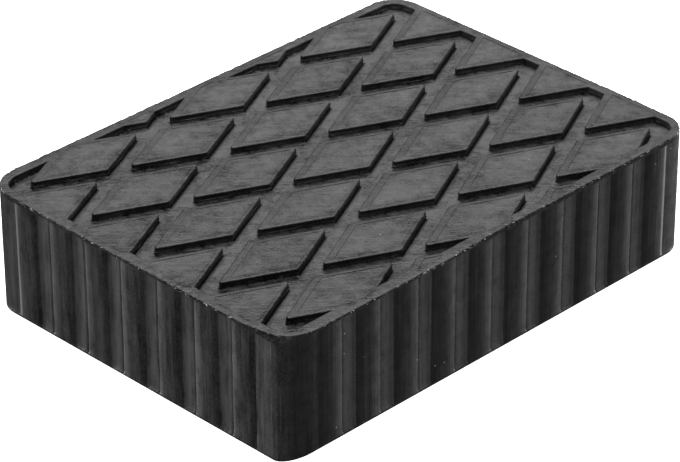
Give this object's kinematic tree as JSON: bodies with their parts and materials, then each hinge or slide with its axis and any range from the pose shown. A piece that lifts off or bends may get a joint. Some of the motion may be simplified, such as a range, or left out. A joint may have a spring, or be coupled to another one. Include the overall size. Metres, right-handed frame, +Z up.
{
  "type": "car lift rubber pad",
  "caption": "Rectangular moulded rubber block with a raised diamond tread on top and low upright ribs round its sides, set between a lift and a vehicle's sill.",
  "frame": {"origin": "middle of the flat underside", "axes": "+X along the length, +Y along the width, +Z up to the diamond tread"},
  "size_m": [0.16, 0.117, 0.038],
  "materials": {
    "rubber": "satin"
  },
  "bodies": {
    "root": {"pad": "rubber"}
  },
  "joints": []
}
